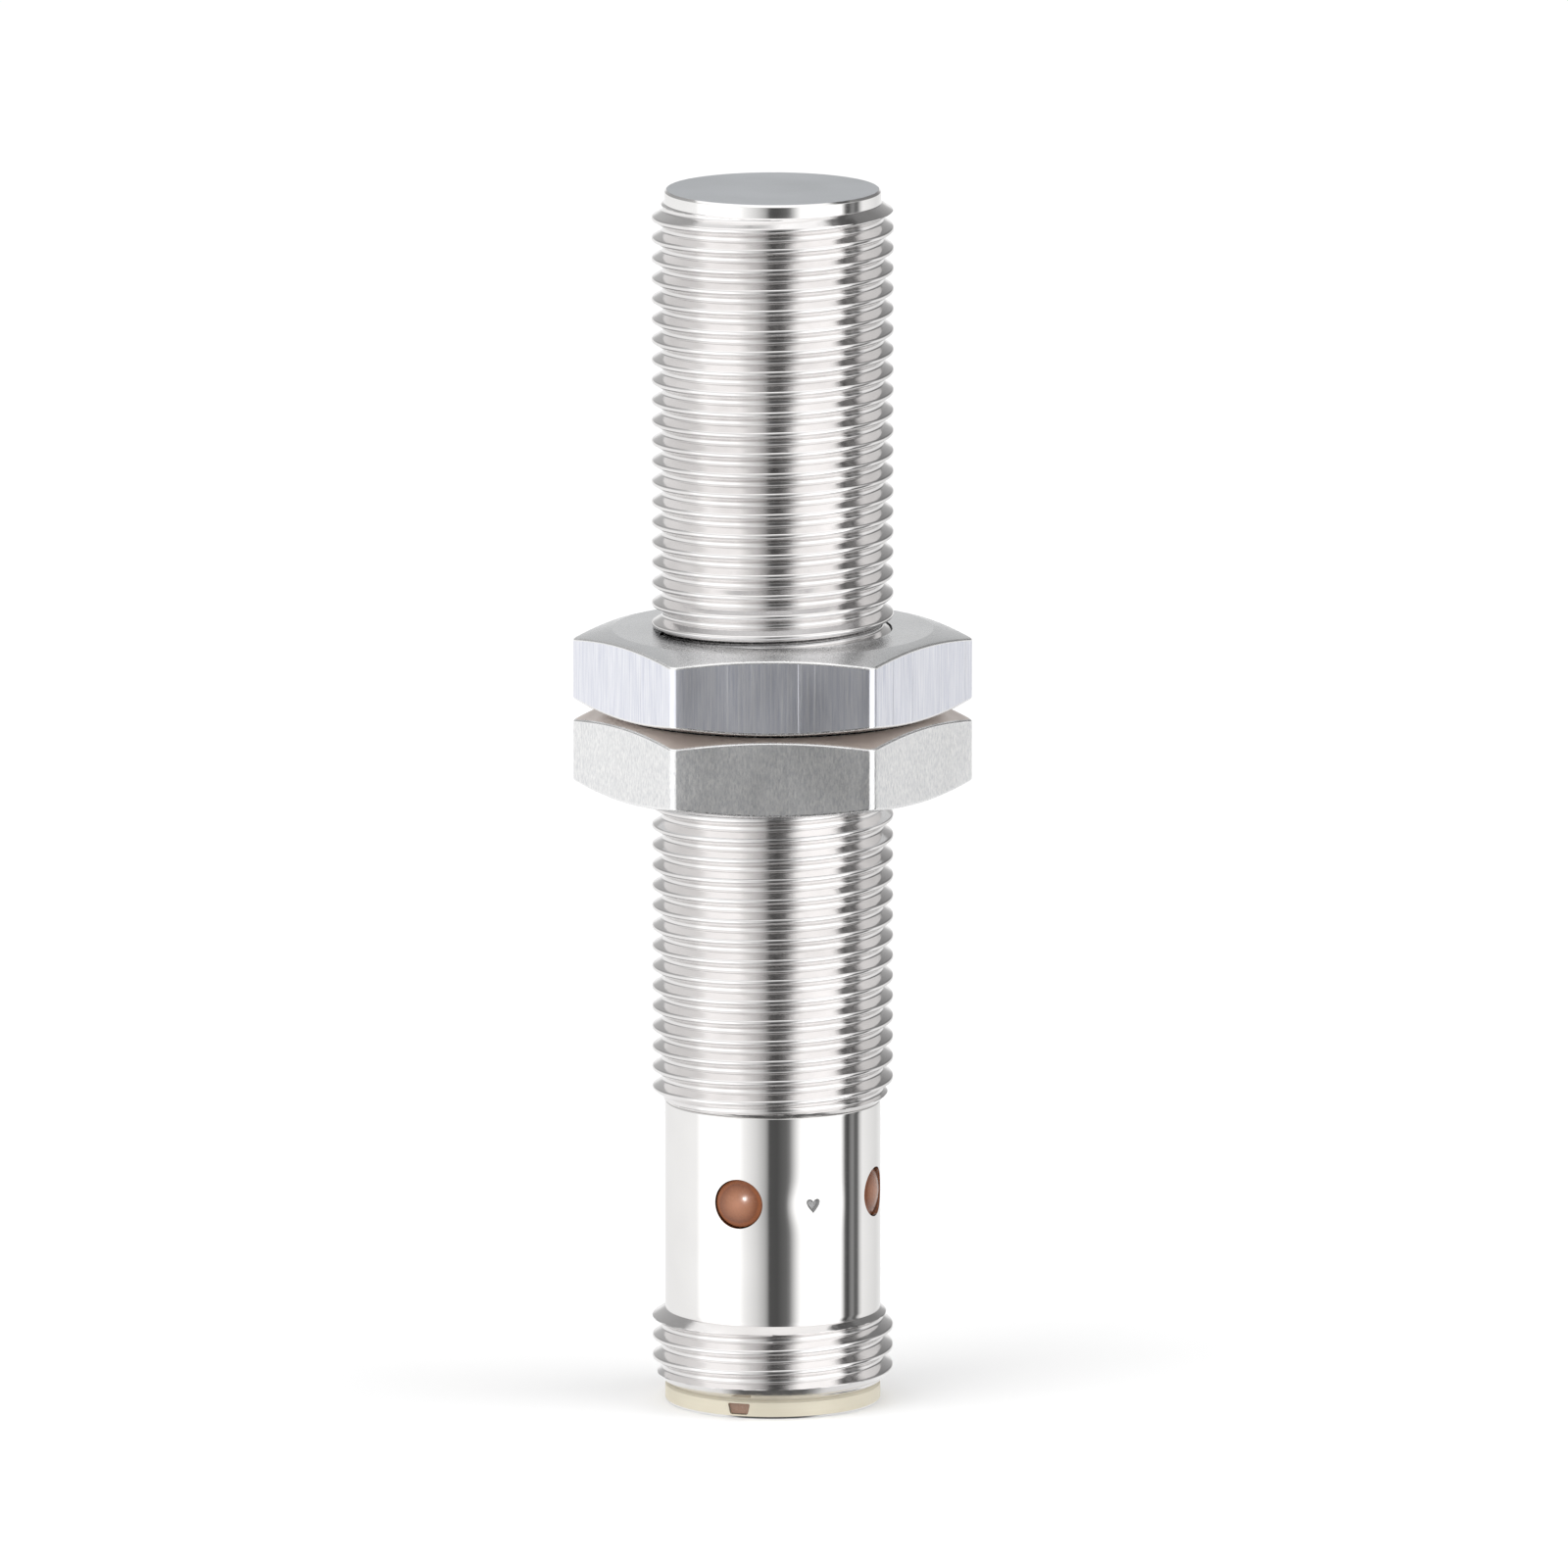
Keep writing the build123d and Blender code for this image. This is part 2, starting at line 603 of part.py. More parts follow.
# ---------------------------------------------------------------- assembly
def build_all():
    nodes = {}
    nodes["threaded_barrel"] = threaded_barrel()
    nodes["plug_sleeve"] = plug_sleeve()
    upper_z0 = UPPER_NUT_TOP - NUT_H
    lower_z0 = upper_z0 - NUT_GAP - NUT_H
    nodes["upper_lock_nut"] = lock_nut(upper_z0, True)
    nodes["lower_lock_nut"] = lock_nut(lower_z0, False)
    nodes["upper_nut_bearing_face"] = bearing_face(UPPER_NUT_TOP, True)
    nodes["lower_nut_bearing_face"] = bearing_face(lower_z0, False)
    for i, azimuth in enumerate(WINDOW_AZIMUTHS):
        nodes[f"status_window_{i + 1}"] = status_window(azimuth)
    nodes["light_guide_ring"] = light_guide_ring()
    nodes["connector_insert"] = connector_insert()
    nodes["insert_seal"] = insert_seal()
    for i, azimuth in enumerate(pin_azimuths()):
        nodes[f"contact_pin_{i + 1}"] = contact_pin(azimuth)
        nodes[f"contact_wire_{i + 1}"] = contact_wire(azimuth)
    nodes["core_holder"] = core_holder()
    nodes["shield_ring"] = shield_ring()
    nodes["ferrite_core"] = ferrite_core()
    nodes["coil_bobbin"] = coil_bobbin()
    nodes["coil_winding"] = coil_winding()
    nodes["coil_lead_a"] = coil_lead(-1)
    nodes["coil_lead_b"] = coil_lead(1)
    nodes["circuit_board"] = circuit_board()
    nodes["oscillator_chip"] = gull_package(*OSCILLATOR_CHIP)
    nodes["output_driver"] = gull_package(*OUTPUT_DRIVER)
    nodes["voltage_regulator"] = gull_package(*VOLTAGE_REGULATOR)
    nodes["supply_capacitor"] = end_cap_chip(*SUPPLY_CAPACITOR)
    for i, place in enumerate(PROTECTION_DIODES):
        nodes[f"protection_diode_{i + 1}"] = end_cap_chip(*place)
    for i, place in enumerate(TUNING_CAPACITORS):
        nodes[f"tuning_capacitor_{i + 1}"] = end_cap_chip(*place)
    for i, place in enumerate(CHIP_RESISTORS):
        nodes[f"chip_resistor_{i + 1}"] = end_cap_chip(*place)
    count = 0
    for side in (-1, 1):
        for hand in (-1, 1):
            count += 1
            nodes[f"status_led_{count}"] = status_led(side, hand)
    nodes["liner_tube"] = liner_tube()
    nodes["resin_plug"] = resin_plug()
    return nodes


os.makedirs("parts", exist_ok=True)
for name, shape in build_all().items():
    shape.label = name
    export_step(shape, f"parts/{name}.step")
    print(f"{name}: volume {shape.volume:.3f} mm3, solids {len(shape.solids())}, valid {shape.is_valid}")
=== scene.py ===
import json
import math

import bmesh
import bpy
import numpy as np
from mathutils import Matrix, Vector


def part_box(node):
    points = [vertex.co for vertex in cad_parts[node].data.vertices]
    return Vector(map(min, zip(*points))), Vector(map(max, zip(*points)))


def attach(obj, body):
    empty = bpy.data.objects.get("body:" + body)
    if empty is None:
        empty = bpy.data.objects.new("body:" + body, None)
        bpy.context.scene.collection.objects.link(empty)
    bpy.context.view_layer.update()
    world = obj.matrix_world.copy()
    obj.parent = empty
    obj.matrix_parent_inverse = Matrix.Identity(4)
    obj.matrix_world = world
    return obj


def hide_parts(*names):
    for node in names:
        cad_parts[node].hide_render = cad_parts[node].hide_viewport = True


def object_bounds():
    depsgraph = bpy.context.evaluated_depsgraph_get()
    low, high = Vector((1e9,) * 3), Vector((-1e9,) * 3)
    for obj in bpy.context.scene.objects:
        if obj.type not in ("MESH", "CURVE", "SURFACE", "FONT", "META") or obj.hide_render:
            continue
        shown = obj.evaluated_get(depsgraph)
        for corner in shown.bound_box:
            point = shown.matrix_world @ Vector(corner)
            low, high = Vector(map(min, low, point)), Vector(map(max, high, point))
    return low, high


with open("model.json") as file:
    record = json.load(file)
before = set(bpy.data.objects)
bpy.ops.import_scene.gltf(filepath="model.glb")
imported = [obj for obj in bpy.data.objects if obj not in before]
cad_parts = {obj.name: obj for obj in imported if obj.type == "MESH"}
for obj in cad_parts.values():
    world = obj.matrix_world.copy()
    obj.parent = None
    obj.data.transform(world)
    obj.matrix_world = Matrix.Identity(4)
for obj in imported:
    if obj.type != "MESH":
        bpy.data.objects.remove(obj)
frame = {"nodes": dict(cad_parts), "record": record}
cad_box = [list(corner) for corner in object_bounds()]
MM = 0.001
TAU = 2 * math.pi

# ---------------------------------------------------------------- sizes, millimetres
PITCH = 1.0
FLANK = math.tan(math.radians(30))
CREST_R = 5.90
ROOT_R = 5.36
OUTER_PITCH_R = 5.61
NUT_MINOR_R = 5.50
NUT_ROOT_R = 6.06
INNER_PITCH_R = 5.75
BARREL_PHASE = 0.08
PLUG_PHASE = 0.69
BARREL_THREAD_TOP = 59.32
PLUG_THREAD_BOTTOM = 0.90
PLUG_THREAD_TOP = 4.60
CONE_DEPTH = 0.60
FOOT_RUN = 0.60
CONE_RUN = 0.37
WINDOW_Z = 10.65
WINDOW_R = 1.19
WINDOW_HOLE_R = 1.22
WINDOW_AZIMUTHS = [-18.8, 71.2, 161.2, 251.2]
WINDOW_APEX_R = 5.32
WINDOW_DOME_R = 2.6
WINDOW_FOOT_R = 4.78
DIMPLE_AZ = 22.3
DIMPLE_Z = 10.6
DIMPLE_DEPTH = 0.075
DIMPLE_ACROSS = 0.95
DIMPLE_ALONG = 0.85
PUNCH_DEPTH = 0.20
KEY_AZ = -18.4
CODE_TOP_W = 1.15
CODE_BOTTOM_W = 0.90
CODE_Z0 = 0.18
CODE_Z1 = 0.74
CODE_DEPTH = 0.34
NECK_R = 5.28
NECK_TOP = 14.86
SHOULDER_Z = 14.99
SPIGOT_R = 4.78
SPIGOT_BORE_R = 4.40
SPIGOT_Z = 13.0
SLEEVE_BORE_R = 4.72
SLEEVE_MOUTH_R = 4.82
WALL_MIDDLE_R = 5.0
END_RIM_R = 5.27
RIM_R = 5.28
RIM_EDGE = 0.12
END_RIM_EDGE = 0.12
NUT_AF = 17.0
NUT_CORNER_R = 0.60
NUT_CHAMFER_R = 7.85
NUT_CHAMFER_ANGLE = 15.0
NUT_BEVEL = 0.10
NUT_MOUTH_R = 5.85
NUT_CORNER_SPREAD = 0.0215  # half of a rounded corner's angle, in radians
BARREL_COLUMNS = 288
SLEEVE_COLUMNS = 360
WELD_GAP = 2.5e-7  # metres


def node_z(node):
    """Lowest and highest z of a CAD node, in millimetres."""
    low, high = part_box(node)
    return low.z / MM, high.z / MM


# ---------------------------------------------------------------- mesh helpers
def rounded(points, radii, steps=3):
    """A polyline of (a, b) points with its inner corners rounded to the given radii.

    A rounding may use nearly all of an end segment, and just under half of a middle one.
    """
    out = [points[0]]
    for i in range(1, len(points) - 1):
        p = np.array(points[i], float)
        u = np.array(points[i - 1], float) - p
        v = np.array(points[i + 1], float) - p
        lu = np.linalg.norm(u)
        lv = np.linalg.norm(v)
        u = u / lu
        v = v / lv
        cosine = float(np.clip(u @ v, -1, 1))
        angle = math.acos(cosine)
        if radii[i] <= 0 or angle > math.pi - 1e-3:
            out.append(tuple(p))
            continue
        before = 0.95 if i == 1 else 0.48
        after = 0.95 if i == len(points) - 2 else 0.48
        cut = min(radii[i] / math.tan(angle / 2), before * lu, after * lv)
        radius = cut * math.tan(angle / 2)
        centre = p + (u + v) / np.linalg.norm(u + v) * radius / math.sin(angle / 2)
        a = p + u * cut - centre
        b = p + v * cut - centre
        turn = math.pi - angle
        for k in range(steps + 1):
            t = k / steps
            w = (math.sin((1 - t) * turn) * a + math.sin(t * turn) * b) / math.sin(turn)
            out.append(tuple(centre + w))
    out.append(points[-1])
    return out


def set_normals(mesh, limit=38.0, override=None):
    """Area-weighted normals, smooth across edges flatter than the limit, with an optional exact rule."""
    loops = len(mesh.loops)
    verts = len(mesh.vertices)
    polys = len(mesh.polygons)
    lv = np.zeros(loops, np.int64)
    mesh.loops.foreach_get("vertex_index", lv)
    totals = np.zeros(polys, np.int64)
    mesh.polygons.foreach_get("loop_total", totals)
    lf = np.repeat(np.arange(polys), totals)
    fn = np.zeros(polys * 3)
    mesh.polygons.foreach_get("normal", fn)
    fn = fn.reshape(-1, 3)
    fa = np.zeros(polys)
    mesh.polygons.foreach_get("area", fa)
    order = np.argsort(lv, kind="stable")
    counts = np.bincount(lv, minlength=verts)
    starts = np.concatenate([[0], np.cumsum(counts)[:-1]])
    normals = np.zeros((loops, 3))
    cosine = math.cos(math.radians(limit))
    for k in np.unique(counts):
        if k == 0:
            continue
        group = np.nonzero(counts == k)[0]
        idx = order[starts[group][:, None] + np.arange(k)[None, :]]
        n = fn[lf[idx]]
        a = fa[lf[idx]]
        near = np.einsum("gic,gjc->gij", n, n) > cosine
        total = np.einsum("gij,gj,gjc->gic", near.astype(float), a, n)
        normals[idx] = total
    length = np.linalg.norm(normals, axis=1, keepdims=True)
    normals = np.where(length > 1e-20, normals / np.maximum(length, 1e-20), fn[lf])
    if override is not None:
        co = np.zeros(verts * 3)
        mesh.vertices.foreach_get("co", co)
        normals = override(co.reshape(-1, 3)[lv], fn[lf], normals)
    mesh.polygons.foreach_set("use_smooth", np.ones(polys, bool))
    mesh.normals_split_custom_set(normals.tolist())


def weld(mesh):
    """Join the vertices that fall together, drop what has no area and turn the faces outwards."""
    work = bmesh.new()
    work.from_mesh(mesh)
    bmesh.ops.remove_doubles(work, verts=work.verts, dist=WELD_GAP)
    bmesh.ops.dissolve_degenerate(work, edges=work.edges, dist=1e-8)
    bmesh.ops.recalc_face_normals(work, faces=work.faces)
    work.to_mesh(mesh)
    work.free()


def grid_mesh(name, radius, height, azimuth, tags, closed=False):
    """Closed skin from rows of (radius, height) at each azimuth column.

    The last column lands on the first, helical rows run into each other there, and rows that
    are held at an end plane fall together: all of it is welded afterwards.
    """
    cols, rows = radius.shape
    x = radius * np.sin(azimuth)[:, None]
    y = -radius * np.cos(azimuth)[:, None]
    co = np.stack([x, y, height], axis=2).reshape(-1, 3) * MM
    span = rows if closed else rows - 1
    j = np.arange(cols - 1)
    i = np.arange(span)
    jj, ii = np.meshgrid(j, i, indexing="ij")
    nxt = (ii + 1) % rows
    here = jj * rows
    there = (jj + 1) * rows
    quads = np.stack([here + ii, there + ii, there + nxt, here + nxt], axis=2).reshape(-1, 4)
    mesh = bpy.data.meshes.new(name)
    mesh.from_pydata(co.tolist(), [], quads.tolist())
    index = np.asarray(tags)[ii.reshape(-1)]
    mesh.polygons.foreach_set("material_index", index.astype(np.int32))
    weld(mesh)
    return mesh


def as_object(mesh, materials):
    obj = bpy.data.objects.new(mesh.name, mesh)
    bpy.context.scene.collection.objects.link(obj)
    for material in materials:
        mesh.materials.append(material)
    return obj


def outer_profile():
    """One pitch of the outside thread from crest middle to crest middle: (dz, radius)."""
    crest = PITCH / 4 - (CREST_R - OUTER_PITCH_R) * FLANK
    root = PITCH / 4 + (ROOT_R - OUTER_PITCH_R) * FLANK
    points = [
        (0, CREST_R),
        (crest, CREST_R),
        (PITCH / 2 - root, ROOT_R),
        (PITCH / 2 + root, ROOT_R),
        (PITCH - crest, CREST_R),
        (PITCH, CREST_R),
    ]
    return rounded(points, [0, 0.12, 0.13, 0.13, 0.12, 0], 4)[:-1]


def inner_profile():
    """One pitch of the nut's thread from ridge middle to ridge middle: (dz, radius)."""
    crest = PITCH / 4 + (NUT_MINOR_R - INNER_PITCH_R) * FLANK
    root = PITCH / 4 - (NUT_ROOT_R - INNER_PITCH_R) * FLANK
    points = [
        (0, NUT_MINOR_R),
        (crest, NUT_MINOR_R),
        (PITCH / 2 - root, NUT_ROOT_R),
        (PITCH / 2 + root, NUT_ROOT_R),
        (PITCH - crest, NUT_MINOR_R),
        (PITCH, NUT_MINOR_R),
    ]
    return rounded(points, [0, 0.05, 0.05, 0.05, 0.05, 0])[:-1]


def helical_rows(profile, phase, z0, z1, azimuth):
    """Radius and height of thread rows that climb one pitch per turn, held between z0 and z1."""
    first = math.floor(z0 - phase) - 2
    turns = int(round(z1 - z0)) + 5
    looped = np.array(profile + [(PITCH, profile[0][1])])
    fine = np.unique(np.concatenate([looped[:, 0], np.arange(0, PITCH, 0.02)]))[:-1]
    dz = []
    radius = []
    for t in range(turns):
        # rows crowd together where the thread runs out at either end
        rows = fine if t < 4 or t > turns - 5 else looped[:-1, 0]
        for a in rows:
            dz.append(first + t * PITCH + a)
            radius.append(np.interp(a, looped[:, 0], looped[:, 1]))
    # crest height is set on the +X side and rises one pitch per turn, seen from above anticlockwise
    climb = ((azimuth - math.pi / 2) / TAU) * PITCH
    height = phase + climb[:, None] + np.array(dz)[None, :]
    rad = np.repeat(np.array(radius)[None, :], len(azimuth), axis=0)
    for column in range(len(azimuth)):
        low, high = np.interp([z0, z1], height[column], rad[column])
        rad[column][height[column] < z0] = low
        rad[column][height[column] > z1] = high
    return rad, np.clip(height, z0, z1)


def fixed_rows(points, count):
    rad = np.repeat(np.array([p[0] for p in points], float)[None, :], count, axis=0)
    hgt = np.repeat(np.array([p[1] for p in points], float)[None, :], count, axis=0)
    return rad, hgt


def azimuths(columns):
    return np.linspace(0, TAU, columns + 1)


# ---------------------------------------------------------------- materials
def nodes_of(name):
    material = bpy.data.materials.new(name)
    material.use_nodes = True
    tree = material.node_tree
    tree.nodes.clear()
    out = tree.nodes.new("ShaderNodeOutputMaterial")
    shader = tree.nodes.new("ShaderNodeBsdfPrincipled")
    tree.links.new(shader.outputs["BSDF"], out.inputs["Surface"])
    coords = tree.nodes.new("ShaderNodeTexCoord")
    return material, tree, shader, coords


def noise(tree, coords, scale, stretch=(1, 1, 1), detail=3.0, rough=0.5):
    """Noise in object space: scale is in cycles per metre after stretching each axis."""
    mapping = tree.nodes.new("ShaderNodeMapping")
    mapping.inputs["Scale"].default_value = stretch
    tree.links.new(coords.outputs["Object"], mapping.inputs["Vector"])
    texture = tree.nodes.new("ShaderNodeTexNoise")
    texture.inputs["Scale"].default_value = scale
    texture.inputs["Detail"].default_value = detail
    texture.inputs["Roughness"].default_value = rough
    tree.links.new(mapping.outputs["Vector"], texture.inputs["Vector"])
    return texture.outputs["Fac"]


def ramp(tree, value, stops):
    node = tree.nodes.new("ShaderNodeValToRGB")
    elements = node.color_ramp.elements
    while len(elements) < len(stops):
        elements.new(0.5)
    for element, (place, colour) in zip(elements, stops):
        element.position = place
        element.color = (*colour, 1.0)
    tree.links.new(value, node.inputs["Fac"])
    return node.outputs["Color"]


def spread(tree, value, low, high):
    node = tree.nodes.new("ShaderNodeMapRange")
    node.inputs["To Min"].default_value = low
    node.inputs["To Max"].default_value = high
    node.inputs["From Min"].default_value = 0.3
    node.inputs["From Max"].default_value = 0.7
    tree.links.new(value, node.inputs["Value"])
    return node.outputs["Result"]


def bump(tree, shader, value, distance, strength=1.0, after=None):
    node = tree.nodes.new("ShaderNodeBump")
    node.inputs["Strength"].default_value = strength
    node.inputs["Distance"].default_value = distance
    tree.links.new(value, node.inputs["Height"])
    if after is not None:
        tree.links.new(after, node.inputs["Normal"])
    tree.links.new(node.outputs["Normal"], shader.inputs["Normal"])
    return node.outputs["Normal"]


def metal(name, dark, light, rough, scale, stretch, depth, metallic=1.0):
    """Bare metal: colour and roughness drift with the grain, and a fine bump along it."""
    material, tree, shader, coords = nodes_of(name)
    shader.inputs["Metallic"].default_value = metallic
    grain = noise(tree, coords, scale, stretch)
    cloud = noise(tree, coords, 260, (1, 1, 1), 2.0)
    tree.links.new(ramp(tree, cloud, [(0.3, dark), (0.7, light)]), shader.inputs["Base Color"])
    tree.links.new(spread(tree, grain, rough[0], rough[1]), shader.inputs["Roughness"])
    bump(tree, shader, grain, depth)
    return material


def plastic(name, dark, light, rough, scale=900, depth=4e-6, coat=0.0):
    material, tree, shader, coords = nodes_of(name)
    grain = noise(tree, coords, scale * 6, (1, 1, 1))
    cloud = noise(tree, coords, scale, (1, 1, 1), 2.0)
    shader.inputs["Coat Weight"].default_value = coat
    shader.inputs["Coat Roughness"].default_value = 0.08
    tree.links.new(ramp(tree, cloud, [(0.3, dark), (0.7, light)]), shader.inputs["Base Color"])
    tree.links.new(spread(tree, grain, rough[0], rough[1]), shader.inputs["Roughness"])
    bump(tree, shader, grain, depth, 0.6)
    return material


def amber_lens(name):
    """Amber lens under a clear gloss, with painted light and shade: paler at the crown of the dome, darker
    towards its rim, and a painted orange glow at its very edge.
    """
    material, tree, shader, coords = nodes_of(name)
    place = tree.nodes.new("ShaderNodeAttribute")
    place.attribute_name = "rim"
    cloud = noise(tree, coords, 1400, (1, 1, 1), 2.0)
    blend = tree.nodes.new("ShaderNodeMath")
    blend.operation = "MULTIPLY_ADD"
    tree.links.new(cloud, blend.inputs[0])
    blend.inputs[1].default_value = 0.22
    tree.links.new(place.outputs["Fac"], blend.inputs[2])
    # painted light and shade: the amber runs from a pale crown to a dark rim, with a painted orange glow at
    # the edge
    tint = ramp(tree, blend.outputs[0], [
        (0.10, (0.330, 0.150, 0.090)),
        (0.55, (0.245, 0.105, 0.058)),
        (0.90, (0.150, 0.055, 0.028)),
        (1.00, (0.210, 0.070, 0.028)),
    ])
    tree.links.new(tint, shader.inputs["Base Color"])
    grain = noise(tree, coords, 5200)
    tree.links.new(spread(tree, grain, 0.20, 0.30), shader.inputs["Roughness"])
    shader.inputs["Specular IOR Level"].default_value = 0.25
    shader.inputs["Coat Weight"].default_value = 0.15
    shader.inputs["Coat Roughness"].default_value = 0.14
    bump(tree, shader, grain, 3e-6, 0.5)
    return material


def milled(name, dark, light, rough, streak, depth, scratch):
    """Hexagon flats: dark and light grain drawn out along the nut's axis, with a few bright lines."""
    material, tree, shader, coords = nodes_of(name)
    shader.inputs["Metallic"].default_value = 1.0
    grain = noise(tree, coords, 11000, (1, 1, streak), 4.0, 0.65)
    tree.links.new(ramp(tree, grain, [(0.30, dark), (0.70, light)]), shader.inputs["Base Color"])
    drift = noise(tree, coords, 420, (1, 1, 0.4), 2.0)
    tree.links.new(spread(tree, drift, rough[0], rough[1]), shader.inputs["Roughness"])
    fine = bump(tree, shader, grain, depth, 0.8)
    lines = noise(tree, coords, 2600, (1, 1, 0.02), 1.0, 0.5)
    sharp = tree.nodes.new("ShaderNodeMapRange")
    sharp.inputs["From Min"].default_value = 0.66
    sharp.inputs["From Max"].default_value = 0.74
    tree.links.new(lines, sharp.inputs["Value"])
    bump(tree, shader, sharp.outputs["Result"], scratch, 1.0, fine)
    return material


# bare steel as each part of the sensor wears it: dark and light colour, roughness, grain, bump depth
steel_thread = metal("steel_thread", (0.75, 0.735, 0.73), (0.835, 0.82, 0.815), (0.09, 0.18),
                     2600, (1, 1, 0.6), 2e-6)
steel_neck = metal("steel_neck", (0.80, 0.79, 0.78), (0.84, 0.83, 0.82), (0.03, 0.07),
                   500, (0.2, 0.2, 9), 3e-7)
# painted shade: the walls of the punched mark are coloured darker than the steel round them; their
# roughness and grain are real
steel_mark_painted_shade = metal("steel_mark_painted_shade", (0.34, 0.34, 0.34), (0.56, 0.56, 0.56), (0.50, 0.70),
                   6000, (1, 1, 1), 1e-5)
steel_rim = metal("steel_rim", (0.76, 0.71, 0.58), (0.84, 0.79, 0.66), (0.60, 0.70),
                  1500, (0.3, 0.3, 6), 1e-6, 0.5)
steel_collar = metal("steel_collar", (0.82, 0.81, 0.80), (0.87, 0.86, 0.85), (0.08, 0.16),
                     1500, (0.3, 0.3, 6), 1e-6)
steel_face = metal("steel_face", (0.57, 0.59, 0.61), (0.63, 0.65, 0.675), (0.42, 0.54),
                   9000, (1, 1, 1), 5e-6)
steel_nut_upper = milled("steel_nut_upper", (0.68, 0.70, 0.79), (0.96, 0.965, 1.0), (0.28, 0.36),
                         0.03, 5e-6, 8e-6)
steel_nut_lower = milled("steel_nut_lower", (0.66, 0.67, 0.69), (1.0, 0.995, 0.98), (0.28, 0.36),
                         0.35, 1.1e-5, 0.0)
steel_nut_flat = metal("steel_nut_flat", (0.74, 0.75, 0.76), (0.81, 0.82, 0.83), (0.20, 0.30),
                       4200, (1, 1, 1), 1.5e-6)
# painted reflection: a warm tint on the lower nut's upper chamfer stands in for the brownish light
# reflected in the gap between the nuts
steel_nut_painted_warm_reflection = metal("steel_nut_painted_warm_reflection", (0.84, 0.76, 0.71), (0.92, 0.84, 0.79), (0.42, 0.52),
                       4200, (1, 1, 1), 1.5e-6)
# painted highlight: the broken edges are coloured brighter than the flats to give speckled highlights;
# their fine burrs, as bump, are real
steel_nut_edge_painted_highlight = metal("steel_nut_edge_painted_highlight", (0.84, 0.84, 0.84), (0.95, 0.95, 0.95), (0.20, 0.34),
                       7000, (1, 1, 0.3), 8e-6)
amber = plastic("amber_plastic", (0.26, 0.15, 0.10), (0.33, 0.20, 0.14), (0.22, 0.36), 700, 3e-6, 0.3)
amber_window_painted_shade = amber_lens("amber_window_painted_shade")
LOOKS = {
    "amber_plastic": amber,
    "steel_barrel": steel_thread,
    "steel_polished": steel_neck,
    "steel_nut": steel_nut_flat,
    "seal_rubber": plastic("seal_rubber", (0.015, 0.015, 0.015), (0.03, 0.03, 0.03), (0.5, 0.7)),
    "holder_plastic": plastic("holder_plastic", (0.03, 0.03, 0.035), (0.06, 0.06, 0.065), (0.35, 0.5)),
    "shield_brass": metal("shield_brass", (0.62, 0.44, 0.20), (0.74, 0.54, 0.27), (0.2, 0.35),
                          3000, (1, 1, 0.1), 3e-6),
    "ferrite": plastic("ferrite", (0.03, 0.03, 0.035), (0.06, 0.06, 0.065), (0.45, 0.65)),
    "bobbin_plastic": plastic("bobbin_plastic", (0.70, 0.68, 0.62), (0.80, 0.78, 0.72), (0.3, 0.45)),
    "copper_wire": metal("copper_wire", (0.62, 0.28, 0.14), (0.76, 0.38, 0.20), (0.15, 0.3),
                         5000, (0.2, 0.2, 3), 6e-6),
    "board_laminate": plastic("board_laminate", (0.02, 0.16, 0.06), (0.04, 0.24, 0.10), (0.25, 0.4),
                              1500, 5e-6, 0.3),
    "chip_black": plastic("chip_black", (0.02, 0.02, 0.02), (0.045, 0.045, 0.045), (0.4, 0.55)),
    "capacitor_tan": plastic("capacitor_tan", (0.40, 0.28, 0.17), (0.50, 0.38, 0.25), (0.3, 0.45)),
    "resistor_black": plastic("resistor_black", (0.02, 0.02, 0.025), (0.05, 0.05, 0.055), (0.2, 0.35)),
    "led_white": plastic("led_white", (0.78, 0.74, 0.60), (0.88, 0.85, 0.72), (0.12, 0.25), 900, 2e-6, 0.6),
    "gold_contact": metal("gold_contact", (0.83, 0.62, 0.26), (0.92, 0.72, 0.36), (0.10, 0.2),
                          4000, (1, 1, 0.2), 1e-6),
    "liner_film": plastic("liner_film", (0.55, 0.35, 0.08), (0.68, 0.46, 0.14), (0.12, 0.25)),
    "resin_black": plastic("resin_black", (0.02, 0.02, 0.025), (0.04, 0.04, 0.045), (0.2, 0.4)),
}
record = frame["record"]
node_slot = {part["node"]: part["material_slot"] for part in record["subparts"]}
for node, obj in frame["nodes"].items():
    obj.data.materials.clear()
    obj.data.materials.append(LOOKS[node_slot[node]])


